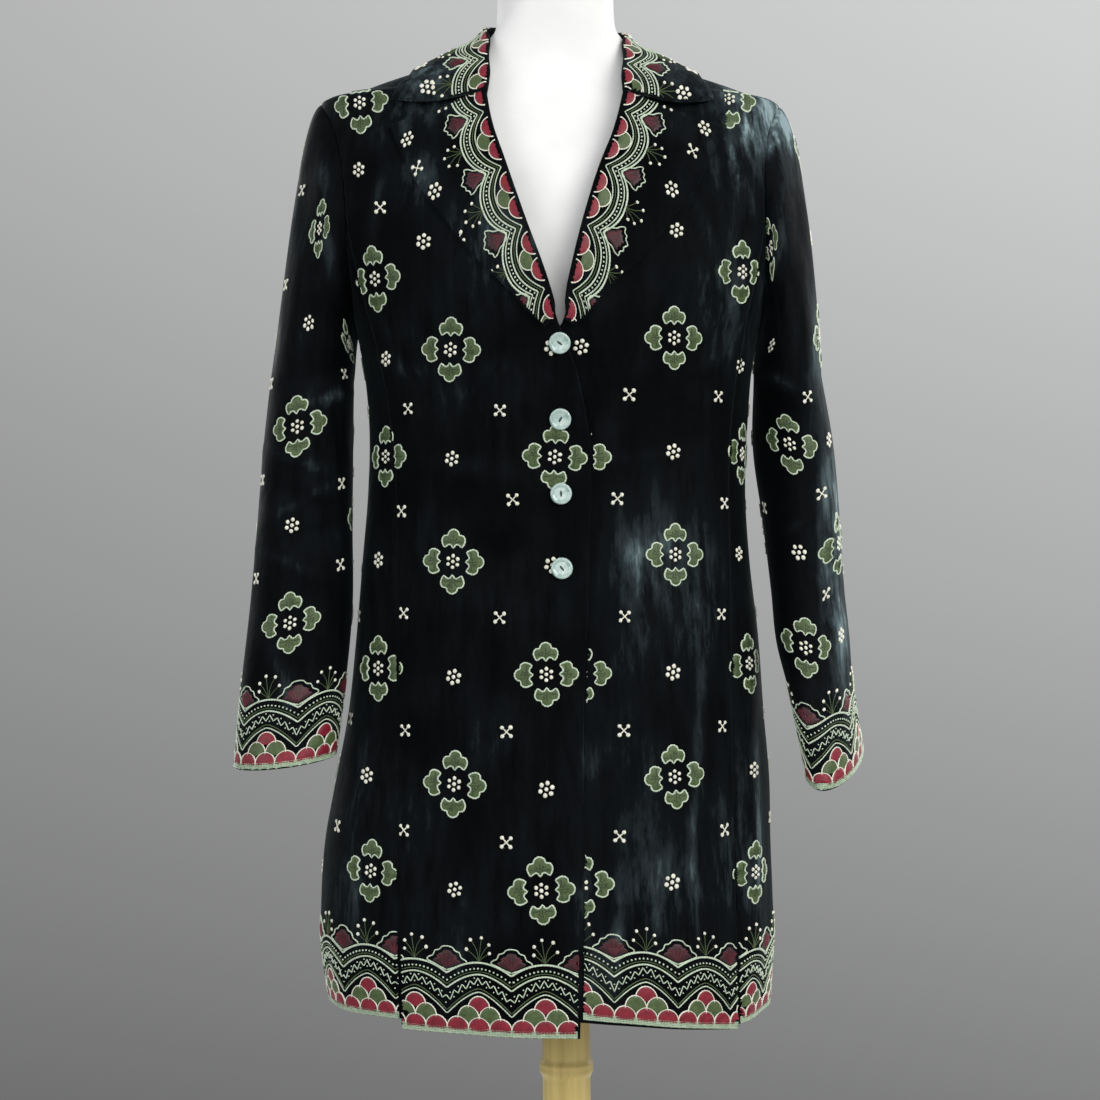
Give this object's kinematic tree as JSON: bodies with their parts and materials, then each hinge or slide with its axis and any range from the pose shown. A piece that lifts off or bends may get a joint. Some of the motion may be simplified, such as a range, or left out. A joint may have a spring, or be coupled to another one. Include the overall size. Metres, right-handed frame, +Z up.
{
  "type": "velvet jacket on a limbless dress form with a wooden stand",
  "caption": "Knee-length velvet jacket with notched lapels and set-in sleeves, embroidered all over, buttoned up on a limbless white dress form that a wooden pole carries on a round base.",
  "frame": {"origin": "on the floor, at the middle of the underside of the stand's base", "axes": "+Z up; the jacket faces -Y, so its right side is at -X and its left side at +X"},
  "size_m": [0.5535, 0.37, 1.443],
  "materials": {
    "velvet": "near-black cotton velvet with a blue-green sheen and a crushed pile, embroidered in cream, sage green and burgundy",
    "form_white": "matte white cover of a dress form",
    "stand_wood": "pale straw-yellow wood under a satin varnish",
    "button_pearl": "mother-of-pearl, polished"
  },
  "bodies": {
    "root": {"front_right": "velvet", "front_left": "velvet", "side_right": "velvet", "side_left": "velvet", "back": "velvet", "sleeve_right": "velvet", "sleeve_left": "velvet", "lapel_right": "velvet", "lapel_left": "velvet", "collar": "velvet", "button_1": "button_pearl", "button_2": "button_pearl", "button_3": "button_pearl", "button_4": "button_pearl", "form_torso": "form_white", "stand_base": "stand_wood", "stand_pole": "stand_wood"}
  },
  "joints": []
}
